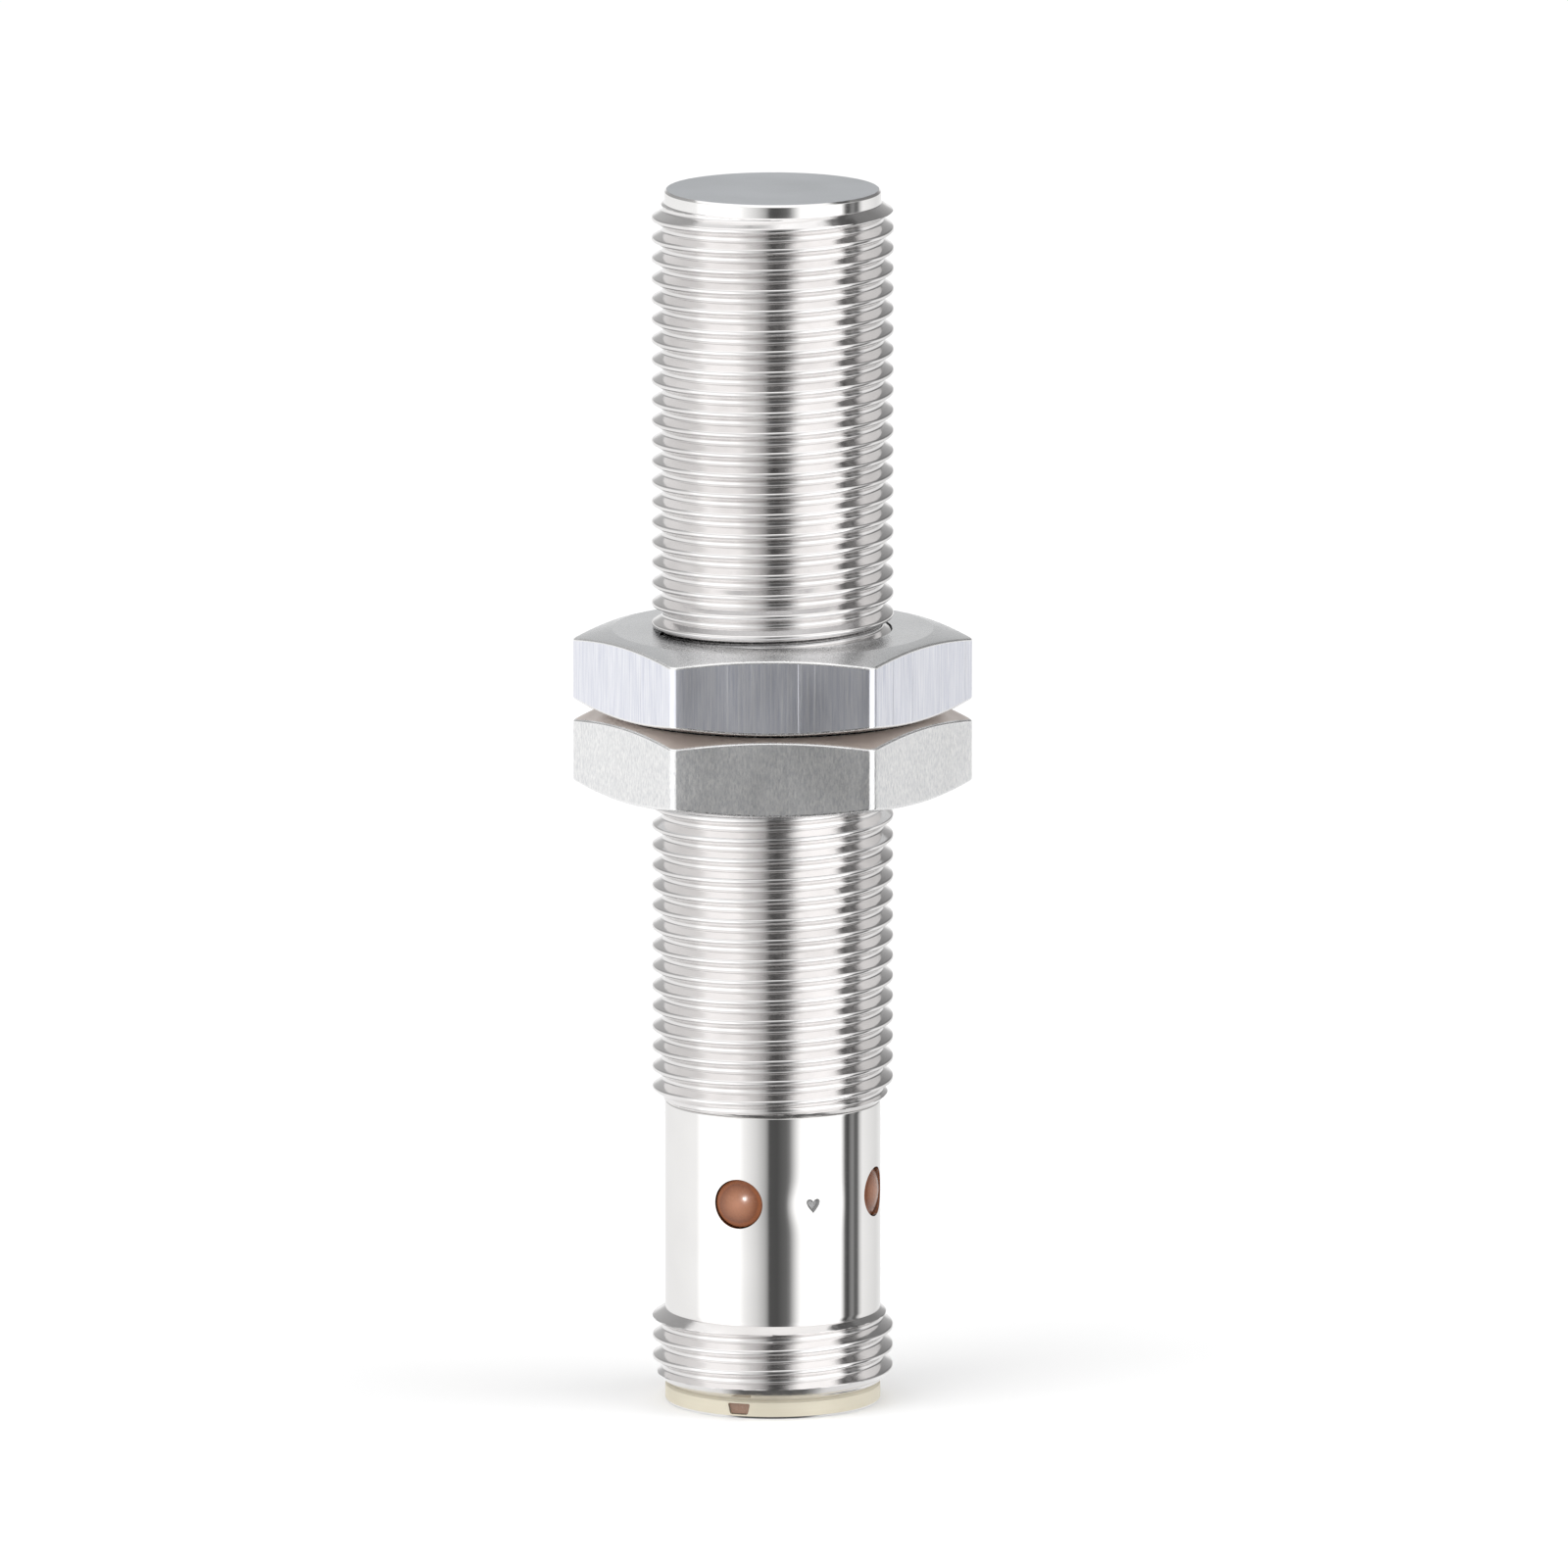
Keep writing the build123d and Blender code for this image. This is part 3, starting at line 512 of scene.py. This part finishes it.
# ---------------------------------------------------------------- barrel
def build_barrel():
    """Threaded barrel: thread rows, a plain collar above them and the closed sensing face."""
    low, top = node_z("threaded_barrel")
    az = azimuths(BARREL_COLUMNS)
    n = len(az)
    foot = CREST_R - CONE_DEPTH
    rad, hgt = helical_rows(outer_profile(), BARREL_PHASE, low, BARREL_THREAD_TOP, az)
    rad = np.minimum(rad, foot + (hgt - low) * CONE_DEPTH / FOOT_RUN)
    rad = np.minimum(rad, foot + (BARREL_THREAD_TOP - hgt) * CONE_DEPTH / CONE_RUN)
    under_r, under_z = fixed_rows([(0, low), (4.0, low), (foot - 0.05, low)], n)
    collar = rounded([
        (foot, BARREL_THREAD_TOP),
        (RIM_R, BARREL_THREAD_TOP + 0.03),
        (RIM_R, top - RIM_EDGE),
        (RIM_R - RIM_EDGE, top),
        (RIM_R - 0.7, top),
    ], [0, 0.02, 0.05, 0.05, 0], 3)[1:]
    collar_r, collar_z = fixed_rows(collar, n)
    disc_r, disc_z = fixed_rows([(4.4, top), (3.0, top), (1.5, top), (0, top)], n)
    radius = np.concatenate([under_r, rad, collar_r, disc_r], axis=1)
    height = np.concatenate([under_z, hgt, collar_z, disc_z], axis=1)
    # blasted face above the edge, turned collar below it, threads below that
    tags = [0] * (under_r.shape[1] + rad.shape[1])
    tags += [2 if z > top - RIM_EDGE * 0.55 else 1 for r, z in collar]
    tags += [2] * disc_r.shape[1]
    mesh = grid_mesh("barrel_shell", radius, height, az, tags, closed=False)
    set_normals(mesh)
    piece = as_object(mesh, [steel_thread, steel_collar, steel_face])
    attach(piece, "housing")
    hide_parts("threaded_barrel")


# ---------------------------------------------------------------- plug sleeve
def dimple(azimuth, height):
    """How far the metal is pressed in round the staking mark, in millimetres."""
    off = (azimuth - math.radians(DIMPLE_AZ) + math.pi) % TAU - math.pi
    across = off * NECK_R / DIMPLE_ACROSS
    along = (height - DIMPLE_Z) / DIMPLE_ALONG
    return DIMPLE_DEPTH * np.exp(-(across ** 2 + along ** 2))


def neck_normals(points, face, normals):
    """Exact normals on the polished neck, so that its reflections run clean past the holes."""
    p = points / MM
    radius = np.hypot(p[:, 0], p[:, 1])
    az = np.arctan2(p[:, 0], -p[:, 1])
    step = 1e-3
    drop = dimple(az, p[:, 2])
    slope_a = (dimple(az + step, p[:, 2]) - dimple(az - step, p[:, 2])) / (2 * step) / NECK_R
    slope_z = (dimple(az, p[:, 2] + step) - dimple(az, p[:, 2] - step)) / (2 * step)
    out = np.stack([np.sin(az), -np.cos(az), np.zeros_like(az)], axis=1)
    side = np.stack([np.cos(az), np.sin(az), np.zeros_like(az)], axis=1)
    exact = out + side * slope_a[:, None]
    exact[:, 2] += slope_z
    exact /= np.linalg.norm(exact, axis=1, keepdims=True)
    on_skin = np.abs(radius - (NECK_R - drop)) < 0.01
    on_neck = (p[:, 2] > PLUG_THREAD_TOP + 0.22) & (p[:, 2] < NECK_TOP)
    facing = np.einsum("nc,nc->n", face, exact) > 0.96
    return np.where((on_skin & on_neck & facing)[:, None], exact, normals)


def circle_outline(radius):
    return [(radius * math.cos(TAU * k / 96), radius * math.sin(TAU * k / 96)) for k in range(96)]


def code_outline():
    """The coding window: a trapezium, wider at its top, with rounded corners."""
    half_h = (CODE_Z1 - CODE_Z0) / 2
    corners = [
        (-CODE_BOTTOM_W / 2, -half_h),
        (CODE_BOTTOM_W / 2, -half_h),
        (CODE_TOP_W / 2, half_h),
        (-CODE_TOP_W / 2, half_h),
    ]
    start = (0, -half_h)
    return rounded([start] + corners[1:] + corners[:1] + [start], [0, 0.14, 0.08, 0.08, 0.14, 0], 4)[:-1]


def punch_outline():
    """The staking mark: a soft heart, its point down."""
    outline = []
    for k in range(40):
        t = TAU * k / 40
        u = 0.36 * math.sin(t) ** 3 + 0.04 * math.sin(t)
        v = 0.37 * math.cos(t) - 0.145 * math.cos(2 * t) - 0.05 * math.cos(3 * t)
        outline.append((u, v))
    return outline


def cutter(name, outline, depth, azimuth, z, r_mid, finish, taper=0.0):
    """A closed tool for a hole in the sleeve, pointing outwards; its walls take the given finish."""
    mesh = bpy.data.meshes.new(name)
    work = bmesh.new()
    rings = []
    for reach, grow in ((r_mid - depth, 1.0 - taper), (r_mid + depth, 1.0 + taper)):
        ring = []
        for u, v in outline:
            a = math.radians(azimuth)
            x = u * grow * math.cos(a) + reach * math.sin(a)
            y = u * grow * math.sin(a) - reach * math.cos(a)
            ring.append(work.verts.new((x * MM, y * MM, (z + v * grow) * MM)))
        rings.append(ring)
    count = len(outline)
    for k in range(count):
        work.faces.new([rings[0][k], rings[0][(k + 1) % count], rings[1][(k + 1) % count], rings[1][k]])
    work.faces.new(rings[0][::-1])
    work.faces.new(rings[1])
    bmesh.ops.recalc_face_normals(work, faces=work.faces)
    for face in work.faces:
        face.material_index = finish
    work.to_mesh(mesh)
    work.free()
    obj = bpy.data.objects.new(name, mesh)
    bpy.context.scene.collection.objects.link(obj)
    return obj


def carve(piece, tools):
    """Cut every tool out of the piece, and put the result in place of its mesh."""
    for tool in tools:
        modifier = piece.modifiers.new("cut", "BOOLEAN")
        modifier.operation = "DIFFERENCE"
        modifier.solver = "EXACT"
        modifier.object = tool
    bpy.context.view_layer.update()
    evaluated = piece.evaluated_get(bpy.context.evaluated_depsgraph_get())
    mesh = bpy.data.meshes.new_from_object(evaluated)
    mesh.name = piece.data.name
    old = piece.data
    piece.modifiers.clear()
    piece.data = mesh
    bpy.data.meshes.remove(old)
    for tool in tools:
        bpy.data.objects.remove(tool)


def build_sleeve():
    """Plug sleeve: end rim, plug thread, polished neck and the spigot that enters the barrel."""
    low, high = node_z("plug_sleeve")
    z1 = PLUG_THREAD_BOTTOM
    z2 = PLUG_THREAD_TOP
    az = azimuths(SLEEVE_COLUMNS)
    n = len(az)
    bottom = rounded([
        (SLEEVE_MOUTH_R, low),
        (END_RIM_R - END_RIM_EDGE, low),
        (END_RIM_R, low + END_RIM_EDGE),
        (END_RIM_R, 0.80),
        (END_RIM_R - 0.12, z1),
    ], [0, 0.05, 0.05, 0.04, 0], 3)
    rad, hgt = helical_rows(outer_profile(), PLUG_PHASE, z1, z2, az)
    foot = CREST_R - CONE_DEPTH
    rad = np.minimum(rad, foot - 0.13 + (hgt - z1) * CONE_DEPTH / FOOT_RUN)
    rad = np.minimum(rad, foot - 0.04 + (z2 - hgt) * CONE_DEPTH / CONE_RUN)
    # the neck's rows are dense enough to carry the dimple, and its two ends are softly rounded
    body_z = np.arange(z2 + 0.25, NECK_TOP, 0.07)
    neck_z = np.concatenate([[z2 + 0.06, z2 + 0.15], body_z, [NECK_TOP + 0.04, NECK_TOP + 0.09]])
    neck_r = np.full(len(neck_z), NECK_R)
    neck_r[0] = NECK_R - 0.02
    neck_r[1] = NECK_R - 0.003
    neck_r[-1] = NECK_R - 0.02
    neck_r[-2] = NECK_R - 0.003
    nr, nz = fixed_rows(list(zip(neck_r, neck_z)), n)
    nr = nr - dimple(az[:, None], nz)
    inside = [
        (NECK_R - 0.08, SHOULDER_Z),
        (SPIGOT_R, SHOULDER_Z),
        (SPIGOT_R, high),
        (SPIGOT_BORE_R, high),
        (SPIGOT_BORE_R, SPIGOT_Z),
        (SLEEVE_BORE_R, SPIGOT_Z),
        (SLEEVE_BORE_R, 0.10),
    ]
    br, bz = fixed_rows(bottom, n)
    ir, iz = fixed_rows(inside, n)
    radius = np.concatenate([br, rad, nr, ir], axis=1)
    height = np.concatenate([bz, hgt, nz, iz], axis=1)
    tags = [2 if z < low + END_RIM_EDGE * 0.9 else 1 for r, z in bottom]
    tags += [0] * rad.shape[1] + [2] * len(neck_z) + [2] * len(inside)
    mesh = grid_mesh("plug_shell", radius, height, az, tags, closed=True)
    piece = as_object(mesh, [steel_thread, steel_rim, steel_neck, steel_mark_painted_shade])
    tools = []
    hole = circle_outline(WINDOW_HOLE_R)
    for k, azimuth in enumerate(WINDOW_AZIMUTHS):
        tools.append(cutter(f"tool_{k}", hole, 0.9, azimuth, WINDOW_Z, WALL_MIDDLE_R, 2))
    code_z = (CODE_Z0 + CODE_Z1) / 2
    tools.append(cutter("tool_code", code_outline(), CODE_DEPTH, KEY_AZ, code_z, WALL_MIDDLE_R, 1))
    # the punched mark's walls take the darker steel of painted shade
    tools.append(cutter("tool_punch", punch_outline(), PUNCH_DEPTH, DIMPLE_AZ, DIMPLE_Z, 5.26, 3, 0.45))
    carve(piece, tools)
    set_normals(piece.data, 38.0, neck_normals)
    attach(piece, "housing")
    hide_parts("plug_sleeve")


# ---------------------------------------------------------------- status windows
def build_window(index, azimuth):
    """Domed lens built about its own axis, then turned into its hole."""
    rim_fall = WINDOW_DOME_R - math.sqrt(WINDOW_DOME_R ** 2 - WINDOW_R ** 2)
    outline = []
    for k in range(25):
        r = (WINDOW_R - 0.06) * k / 24
        outline.append((r, WINDOW_APEX_R - (WINDOW_DOME_R - math.sqrt(WINDOW_DOME_R ** 2 - r * r))))
    edge = WINDOW_APEX_R - rim_fall
    outline += [(WINDOW_R - 0.02, edge - 0.015), (WINDOW_R, edge - 0.05)]
    outline += [(WINDOW_R, WINDOW_FOOT_R), (0, WINDOW_FOOT_R)]
    around = np.linspace(0, TAU, 97)
    rad = np.array([p[0] for p in outline])
    reach = np.array([p[1] for p in outline])
    u = rad[None, :] * np.cos(around)[:, None]
    v = rad[None, :] * np.sin(around)[:, None]
    a = math.radians(azimuth)
    x = u * math.cos(a) + reach[None, :] * math.sin(a)
    y = u * math.sin(a) - reach[None, :] * math.cos(a)
    z = WINDOW_Z + v
    co = np.stack([x, y, z], axis=2).reshape(-1, 3) * MM
    cols = len(rad)
    mesh = bpy.data.meshes.new(f"window_lens_{index}")
    quads = []
    for j in range(len(around) - 1):
        for i in range(cols - 1):
            here = j * cols + i
            quads.append((here, here + 1, here + cols + 1, here + cols))
    mesh.from_pydata(co.tolist(), [], quads)
    weld(mesh)
    points = np.zeros(len(mesh.vertices) * 3)
    mesh.vertices.foreach_get("co", points)
    points = points.reshape(-1, 3) / MM
    across = points[:, 0] * math.cos(a) + points[:, 1] * math.sin(a)
    rim_shade = np.hypot(across, points[:, 2] - WINDOW_Z) / WINDOW_R
    # 0 at the crown of the dome, 1 at its edge: it steers the lens's painted shade
    mesh.attributes.new("rim", "FLOAT", "POINT").data.foreach_set("value", rim_shade)
    set_normals(mesh)
    piece = as_object(mesh, [amber_window_painted_shade])
    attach(piece, "housing")
    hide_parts(f"status_window_{index}")
    return piece


# ---------------------------------------------------------------- lock nuts
def hexagon_radius(azimuth):
    """Polar radius of a hexagon with flats facing the front and back, corners rounded."""
    half = NUT_AF / 2
    local = (azimuth + math.pi / 6) % (math.pi / 3) - math.pi / 6
    flat = half / np.cos(local)
    # the rounded corner: a circle of radius c tangent to both flats
    c = NUT_CORNER_R
    centre = (half - c) / math.cos(math.pi / 6)
    off = np.abs(local) - math.pi / 6
    under = np.maximum(c * c - (centre * np.sin(off)) ** 2, 0)
    arc = centre * np.cos(off) + np.sqrt(under)
    touch = math.atan2(half * math.tan(math.pi / 6) - c * math.tan(math.pi / 6), half)
    return np.where(np.abs(local) > touch, np.minimum(arc, flat), flat)


def nut_azimuths():
    """Columns that crowd together at the six rounded corners."""
    marks = []
    at_corner = np.linspace(-1, 1, 13) * NUT_CORNER_SPREAD
    on_flat = np.linspace(NUT_CORNER_SPREAD, math.pi / 3 - NUT_CORNER_SPREAD, 38)[1:-1]
    for k in range(6):
        corner = math.pi / 6 + k * math.pi / 3
        marks += list(corner + at_corner)
        marks += list(corner + on_flat)
    marks = np.sort(np.array(marks))
    return np.append(marks, marks[0] + TAU)


def build_nut(name, node, slice_node, body, side_finish, chamfer_finish_and_painted_reflection):
    """Hexagon nut: thread rows inside, chamfered faces, and sides with broken edges."""
    z0, z1 = node_z(node)
    s0, s1 = node_z(slice_node)
    z0 = min(z0, s0)
    z1 = max(z1, s1)
    az = nut_azimuths()
    n = len(az)
    slope = math.tan(math.radians(NUT_CHAMFER_ANGLE))
    hexr = hexagon_radius(az)
    # bore: the thread rows, their ridge cut back by a countersink at each mouth
    rad, hgt = helical_rows(inner_profile(), BARREL_PHASE + PITCH / 2, z0, z1, az)
    rad = np.maximum(rad, NUT_MOUTH_R - (hgt - z0))
    rad = np.maximum(rad, NUT_MOUTH_R - (z1 - hgt))
    bevel = NUT_BEVEL
    flat_r, flat_z = fixed_rows([(NUT_ROOT_R + 0.06, z1), (7.0, z1), (NUT_CHAMFER_R - 0.06, z1)], n)
    fall = (hexr - NUT_CHAMFER_R) * slope
    rows = [
        (np.full(n, NUT_CHAMFER_R + 0.02), np.full(n, z1 - 0.012)),
        ((NUT_CHAMFER_R + hexr) / 2, z1 - fall / 2),
        (hexr - bevel * 1.15, z1 - fall + bevel * 1.15 * slope),
        (hexr - bevel * 0.60, z1 - fall - bevel * 0.02),
        (hexr - bevel * 0.22, z1 - fall - bevel * 0.28),
        (hexr - bevel * 0.03, z1 - fall - bevel * 0.66),
        (hexr, z1 - fall - bevel * 1.10),
    ]
    middle = (z0 + z1) / 2
    side = [(hexr, middle + 0.6 * (z1 - fall - middle - bevel)), (hexr, np.full(n, middle)),
            (hexr, middle - 0.6 * (z1 - fall - middle - bevel))]
    mirrored = [(r, z0 + z1 - z) for r, z in rows[::-1]]
    all_rows = rows + side + mirrored
    out_r = np.stack([r for r, z in all_rows], axis=1)
    out_z = np.stack([z for r, z in all_rows], axis=1)
    under_r, under_z = fixed_rows([(NUT_CHAMFER_R - 0.06, z0), (7.0, z0), (NUT_ROOT_R + 0.06, z0)], n)
    radius = np.concatenate([rad, flat_r, out_r, under_r], axis=1)
    height = np.concatenate([hgt, flat_z, out_z, under_z], axis=1)
    # 0 sides, 1 faces and bore, 2 the broken edges between chamfers and sides, coloured brighter as a
    # painted highlight, 3 the upper chamfer, which on the lower nut carries a painted warm reflection
    edge_tags = [2] * 4
    tags = [1] * (rad.shape[1] + 3) + [3] * 2 + edge_tags + [0] * 4 + edge_tags + [1] * 6
    mesh = grid_mesh(name, radius, height, az, tags, closed=True)
    set_normals(mesh, 30.0)
    piece = as_object(mesh, [side_finish, steel_nut_flat, steel_nut_edge_painted_highlight, chamfer_finish_and_painted_reflection])
    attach(piece, body)
    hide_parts(node, slice_node)


build_barrel()
build_sleeve()
windows = [build_window(number + 1, where) for number, where in enumerate(WINDOW_AZIMUTHS)]
build_nut("upper_nut_shell", "upper_lock_nut", "upper_nut_bearing_face", "upper_nut",
          steel_nut_upper, steel_nut_flat)
# the lower nut's upper chamfer takes the painted warm reflection
build_nut("lower_nut_shell", "lower_lock_nut", "lower_nut_bearing_face", "lower_nut",
          steel_nut_lower, steel_nut_painted_warm_reflection)


# ---------------------------------------------------------------- stage, light, camera
def aim(obj, place, target):
    """Put a lamp or the camera at a place, looking at the target."""
    obj.location = place
    obj.rotation_euler = (target - place).to_track_quat("-Z", "Y").to_euler()
    bpy.context.scene.collection.objects.link(obj)


def build_floor():
    material, tree, shader, coords = nodes_of("pale_floor")
    cloud = noise(tree, coords, 3.0, (1, 1, 1), 2.0)
    tree.links.new(ramp(tree, cloud, [(0.3, (0.90, 0.90, 0.90)), (0.7, (0.92, 0.92, 0.92))]),
                   shader.inputs["Base Color"])
    shader.inputs["Roughness"].default_value = 0.9
    shader.inputs["Specular IOR Level"].default_value = 0.0
    mesh = bpy.data.meshes.new("floor")
    half = 8.0
    corners = [(-half, -half, 0), (half, -half, 0), (half, half, 0), (-half, half, 0)]
    mesh.from_pydata(corners, [], [(0, 1, 2, 3)])
    mesh.materials.append(material)
    floor = bpy.data.objects.new("floor", mesh)
    floor.location.z = cad_box[0][2]
    bpy.context.scene.collection.objects.link(floor)
    floor.visible_glossy = False


# how bright the studio is, as (degrees from the front, level) pairs: level with the object, on the
# wall above it, where wall and ceiling meet, and overhead
HORIZON = [
    (-180, 0.97), (-158, 0.94), (-109, 1.02), (-90, 1.06), (-80, 1.45), (-40, 1.45), (-30, 1.05),
    (-24, 0.93), (-17.5, 0.79), (-11, 0.585), (-8, 0.475), (-5.4, 0.30), (-3.6, 0.095), (5, 0.085),
    (14.3, 0.15), (17.5, 0.22), (20.7, 0.49), (24, 0.78), (28, 1.12), (34, 1.50), (76, 1.50),
    (80, 1.0), (84, 0.16), (88, 0.06), (93, 0.26), (96, 0.29), (99, 0.13), (103, 0.16),
    (107.5, 0.73), (112, 1.0), (145, 0.82), (180, 0.97),
]
UPPER_WALL = [
    (-180, 0.66), (-168, 0.52), (-150, 0.38), (-130, 0.42), (-100, 0.66), (-70, 1.05), (-50, 1.02),
    (-35, 0.94), (-20, 0.90), (-8, 0.52), (6, 0.37), (16, 0.70), (28, 1.02), (40, 1.15), (80, 1.10),
    (105, 0.46), (130, 0.22), (156, 0.23), (168, 0.46), (180, 0.66),
]
CEILING_EDGE = [
    (-180, 1.10), (-172, 0.78), (-158, 0.62), (-150, 0.90), (-140, 1.25), (104, 1.25), (110, 0.10),
    (160, 0.10), (168, 1.25), (174, 1.35), (180, 1.30),
]
OVERHEAD = [
    (-180, 1.15), (-171, 0.78), (-161, 0.55), (-155, 0.64), (-151, 0.92), (-147, 1.12), (-138, 1.30),
    (150, 1.22), (165, 1.20), (172, 1.32), (180, 1.28),
]
UNDERNEATH = 0.11
BRIGHTEST = 1.5
BACKDROP = 1.1


def build_world():
    """A white studio all round, with the dark gaps that polished metal shows."""
    world = bpy.data.worlds.new("studio")
    bpy.context.scene.world = world
    world.use_nodes = True
    tree = world.node_tree
    tree.nodes.clear()
    out = tree.nodes.new("ShaderNodeOutputWorld")
    back = tree.nodes.new("ShaderNodeBackground")
    tree.links.new(back.outputs["Background"], out.inputs["Surface"])
    coords = tree.nodes.new("ShaderNodeTexCoord")
    split = tree.nodes.new("ShaderNodeSeparateXYZ")
    tree.links.new(coords.outputs["Generated"], split.inputs["Vector"])

    def maths(kind, a, b=None):
        node = tree.nodes.new("ShaderNodeMath")
        node.operation = kind
        for socket, value in ((0, a), (1, b)):
            if value is None:
                continue
            if isinstance(value, (int, float)):
                node.inputs[socket].default_value = value
            else:
                tree.links.new(value, node.inputs[socket])
        return node.outputs[0]

    def round_the_room(place, stops):
        greys = [((degrees + 180) / 360, (level / BRIGHTEST,) * 3) for degrees, level in stops]
        return maths("MULTIPLY", ramp(tree, place, greys), BRIGHTEST)

    def between(low_angle, high_angle, below, above):
        """Blend from one level to another as the direction rises between two elevations."""
        step = tree.nodes.new("ShaderNodeMapRange")
        step.interpolation_type = "SMOOTHSTEP"
        step.inputs["From Min"].default_value = math.sin(math.radians(low_angle))
        step.inputs["From Max"].default_value = math.sin(math.radians(high_angle))
        tree.links.new(split.outputs["Z"], step.inputs["Value"])
        mix = tree.nodes.new("ShaderNodeMix")
        tree.links.new(step.outputs["Result"], mix.inputs[0])
        for socket, value in ((2, below), (3, above)):
            if isinstance(value, (int, float)):
                mix.inputs[socket].default_value = value
            else:
                tree.links.new(value, mix.inputs[socket])
        return mix.outputs[0]

    # azimuth from the front, 0 to 1 over -180 to 180 degrees
    turn = maths("ARCTAN2", split.outputs["X"], maths("MULTIPLY", split.outputs["Y"], -1.0))
    place = maths("ADD", maths("DIVIDE", turn, TAU), 0.5)
    level = between(-72, -60, UNDERNEATH, round_the_room(place, HORIZON))
    level = between(0, 9, level, round_the_room(place, UPPER_WALL))
    level = between(43, 45, level, round_the_room(place, CEILING_EDGE))
    level = between(57, 60, level, round_the_room(place, OVERHEAD))
    # what the camera sees beyond the floor is plain white
    rays = tree.nodes.new("ShaderNodeLightPath")
    pick = tree.nodes.new("ShaderNodeMix")
    tree.links.new(rays.outputs["Is Camera Ray"], pick.inputs[0])
    tree.links.new(level, pick.inputs[2])
    pick.inputs[3].default_value = BACKDROP
    tree.links.new(pick.outputs[0], back.inputs["Strength"])
    back.inputs["Color"].default_value = (1.0, 1.0, 1.0, 1.0)


def build_lights():
    """Two large soft panels overhead, and a small one that only the windows see."""
    for name, place, size, power in (
        ("key", (-0.5, -0.4, 0.9), 0.7, 3.2),
        ("fill", (0.6, -0.1, 0.8), 0.7, 2.4),
    ):
        data = bpy.data.lights.new(name, "AREA")
        data.size = size
        data.energy = power
        lamp = bpy.data.objects.new(name, data)
        aim(lamp, Vector(place), Vector((0, 0, 0.03)))
        lamp.visible_glossy = False
    # it stands level with the windows and puts a soft gleam on their domes
    data = bpy.data.lights.new("window_glint", "AREA")
    data.size = 0.05
    data.energy = 1.5
    lamp = bpy.data.objects.new("window_glint", data)
    swing = math.radians(-21.5)
    rise = math.tan(math.radians(1.5))
    middle = Vector((0, 0, WINDOW_Z * MM))
    aim(lamp, middle + 0.6 * Vector((math.sin(swing), -math.cos(swing), rise)), middle)
    gleaming = bpy.data.collections.new("gleaming")
    for obj in windows:
        gleaming.objects.link(obj)
    lamp.light_linking.receiver_collection = gleaming


def build_camera():
    """A long lens in front of the sensor, a little above it."""
    distance = 1.250
    elevation = math.radians(10.2)
    view_width = 1600 / 20.9 * MM
    shift_right = 0.55 * MM
    shift_up = 0.73 * MM
    low, high = cad_box
    target = Vector((shift_right, 0, (low[2] + high[2]) / 2 + shift_up))
    away = Vector((0, -math.cos(elevation), math.sin(elevation)))
    data = bpy.data.cameras.new("camera")
    data.sensor_width = 36.0
    data.lens = data.sensor_width * distance / view_width
    data.clip_start = 0.05
    data.clip_end = 60.0
    camera = bpy.data.objects.new("camera", data)
    aim(camera, target + away * distance, target)
    bpy.context.scene.camera = camera


build_floor()
build_world()
build_lights()
build_camera()
bpy.context.scene.view_settings.view_transform = "Standard"
bpy.context.scene.view_settings.look = "None"
